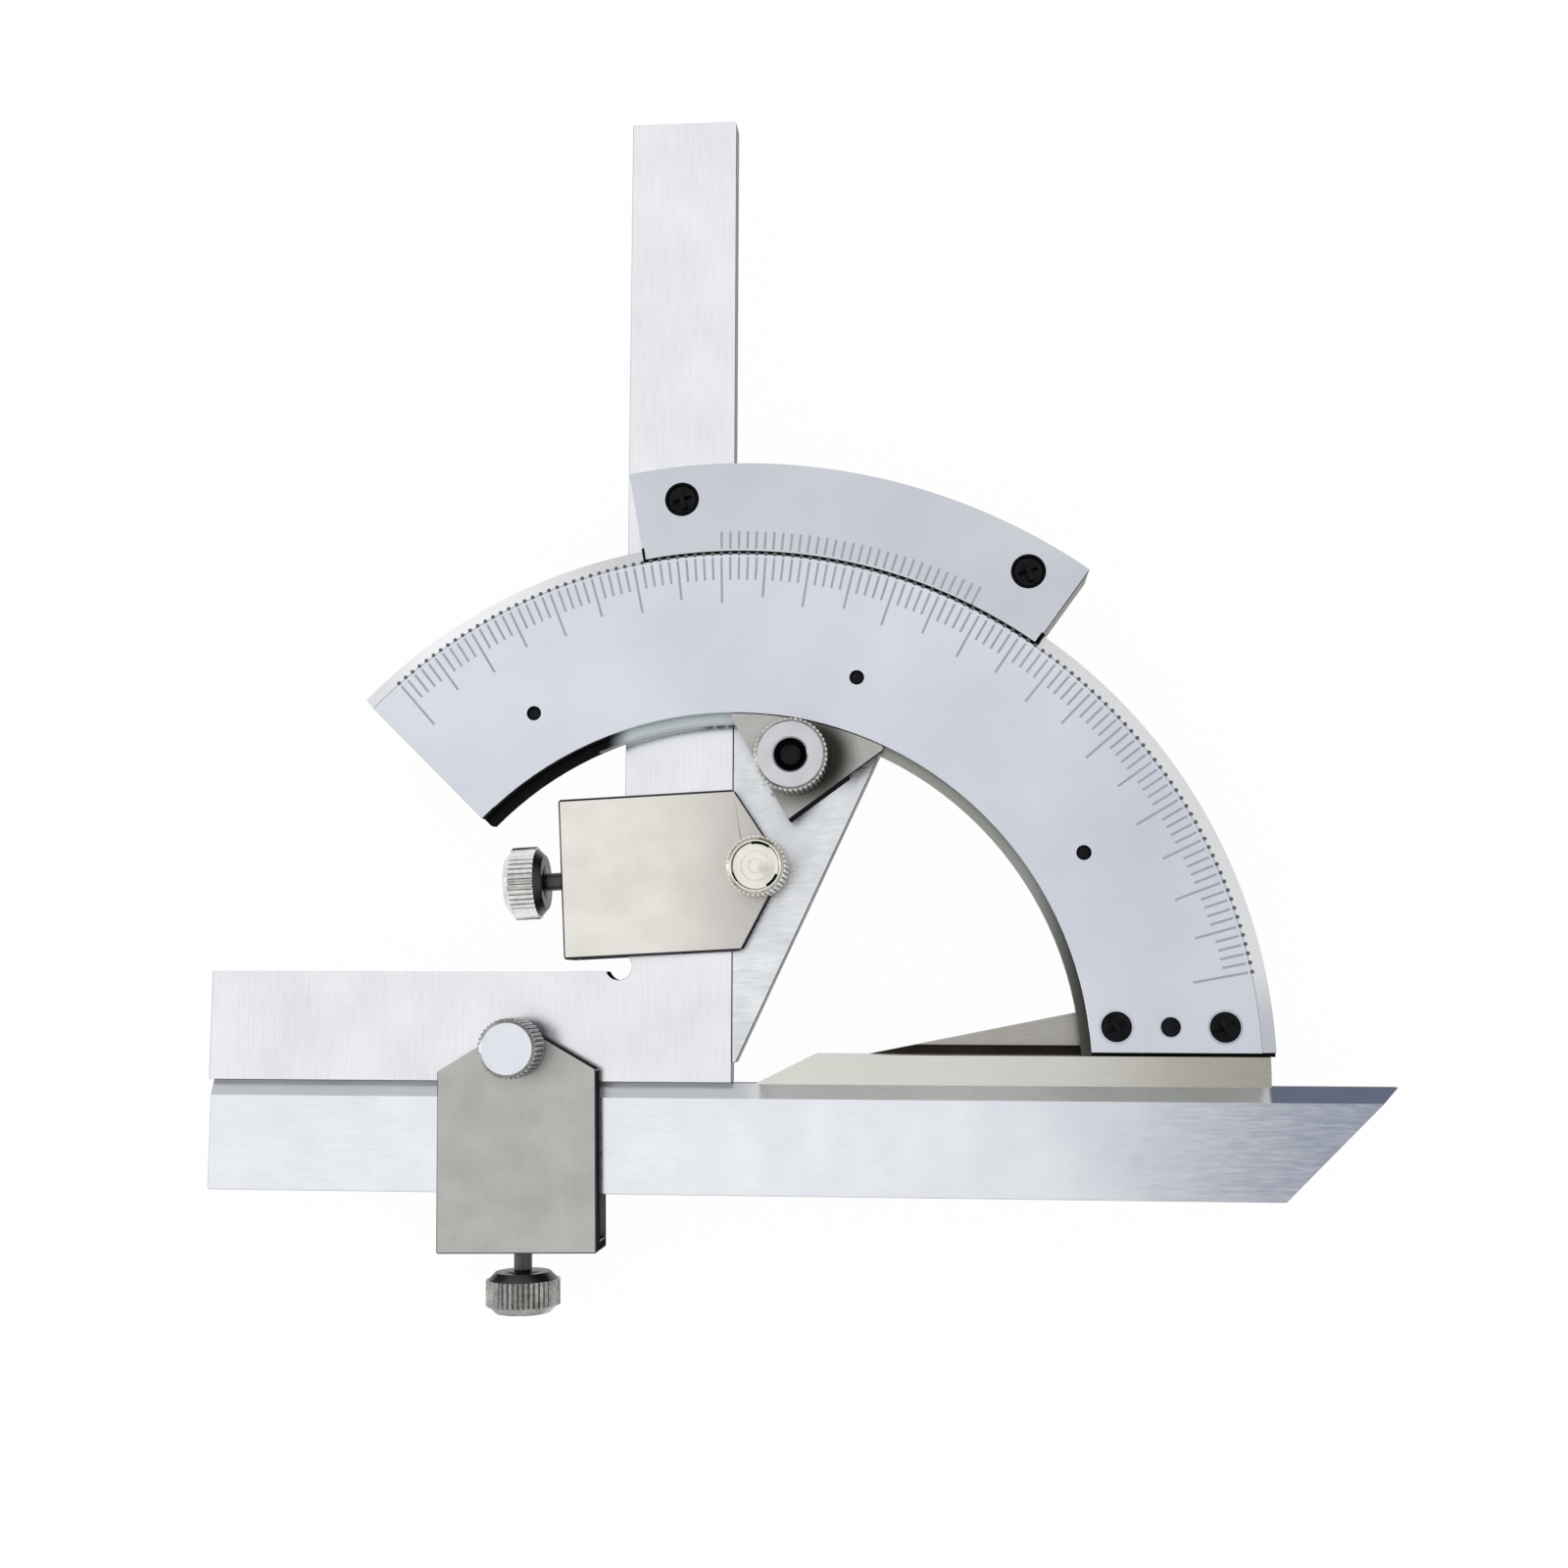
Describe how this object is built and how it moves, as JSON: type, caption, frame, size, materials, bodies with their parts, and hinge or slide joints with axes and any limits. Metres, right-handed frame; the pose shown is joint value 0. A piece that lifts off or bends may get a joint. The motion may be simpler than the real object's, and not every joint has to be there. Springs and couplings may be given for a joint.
{
  "type": "bevel protractor",
  "caption": "Universal bevel protractor: a sector scale with a vernier swings on a swivel plate that clamps a square and a sliding straight ruler.",
  "frame": {"origin": "on the axis that the sector swings about, at the level the tool rests on when it lies on its back", "axes": "+Z out of the face of the scale, +X along the straight ruler towards its pointed end, +Y along the upright leg of the square"},
  "size_m": [0.1504, 0.1563, 0.0192],
  "materials": {
    "satin_chrome": "satin chrome plated, fine matt",
    "ground_steel": "surface ground along its length, lapped edges",
    "brushed_plate": "coarse linished across the plate",
    "lapped_steel": "ground, warm grey",
    "gear_steel": "machined, oiled",
    "nickel_matt": "matt nickel plate, warm grey",
    "nickel_plate": "bright nickel plate, straight knurl",
    "black_screw": "black oxide"
  },
  "bodies": {
    "swivel": {"swivel_plate": "brushed_plate", "vernier_plate": "satin_chrome", "vernier_screws": "black_screw", "upper_clamp_block": "nickel_matt", "brake_stud": "black_screw", "thrust_washer": "gear_steel", "brake_pad": "nickel_matt"},
    "sector": {"scale_plate": "satin_chrome", "sector_frame": "satin_chrome", "sector_gear": "gear_steel", "sector_pins": "black_screw", "base_ruler": "lapped_steel", "base_screws": "black_screw", "base_dowel": "black_screw"},
    "drive": {"drive_pinion": "gear_steel", "rear_knob": "nickel_plate", "knob_grub_screw": "black_screw"},
    "nut": {"brake_nut": "nickel_plate"},
    "upper_knob": {"upper_lock_knob": "nickel_plate"},
    "upper_shoe": {"upper_pressure_shoe": "gear_steel"},
    "upper_thumb": {"upper_thumb_screw": "nickel_plate"},
    "square": {"square": "ground_steel", "lower_clamp_block": "nickel_matt"},
    "lower_knob": {"lower_lock_knob": "nickel_plate"},
    "lower_shoe": {"lower_pressure_shoe": "gear_steel"},
    "lower_thumb": {"lower_thumb_screw": "nickel_plate"},
    "ruler": {"straight_ruler": "ground_steel"}
  },
  "joints": [
    {"name": "sector_swing", "type": "hinge", "parent": "swivel", "child": "sector", "pos_m": [0, 0, 0], "axis": [0, 0, 1], "range_deg": [0, 50]},
    {"name": "drive_turn", "type": "hinge", "parent": "swivel", "child": "drive", "pos_m": [0.00796, 0.03843, 0], "axis": [0, 0, 1], "range_deg": [0, 464]},
    {"name": "nut_turn", "type": "hinge", "parent": "swivel", "child": "nut", "pos_m": [0.00796, 0.03843, 0], "axis": [0, 0, 1], "range_deg": [0, 288]},
    {"name": "upper_knob_turn", "type": "hinge", "parent": "swivel", "child": "upper_knob", "pos_m": [0.00345, 0.0249, 0], "axis": [0, 0, 1], "range_deg": [0, 270]},
    {"name": "upper_shoe_slide", "type": "slide", "parent": "swivel", "child": "upper_shoe", "axis": [-0.9986, -0.0523, 0], "range_m": [0, 0.0008]},
    {"name": "upper_thumb_turn", "type": "hinge", "parent": "upper_shoe", "child": "upper_thumb", "pos_m": [0.00345, 0.0249, 0.0076], "axis": [-0.9986, -0.0523, 0], "range_deg": [0, 600]},
    {"name": "square_slide", "type": "slide", "parent": "swivel", "child": "square", "axis": [0, 1, 0], "range_m": [-0.06, 0]},
    {"name": "lower_knob_turn", "type": "hinge", "parent": "square", "child": "lower_knob", "pos_m": [-0.0274, 0.0023, 0], "axis": [0, 0, 1], "range_deg": [0, 270]},
    {"name": "lower_shoe_slide", "type": "slide", "parent": "square", "child": "lower_shoe", "axis": [0.0175, -0.9998, 0], "range_m": [0, 0.0008]},
    {"name": "lower_thumb_turn", "type": "hinge", "parent": "lower_shoe", "child": "lower_thumb", "pos_m": [-0.0274, 0.0023, 0.0076], "axis": [0.0175, -0.9998, 0], "range_deg": [0, 600]},
    {"name": "ruler_slide", "type": "slide", "parent": "square", "child": "ruler", "axis": [1, 0, 0], "range_m": [-0.06, 0.025]}
  ],
  "couplings": [
    {"joint": "drive_turn", "follows": "sector_swing", "ratio": 9.2632},
    {"joint": "upper_thumb_turn", "follows": "upper_shoe_slide", "rad_per_m": 12566},
    {"joint": "lower_thumb_turn", "follows": "lower_shoe_slide", "rad_per_m": 12566}
  ]
}
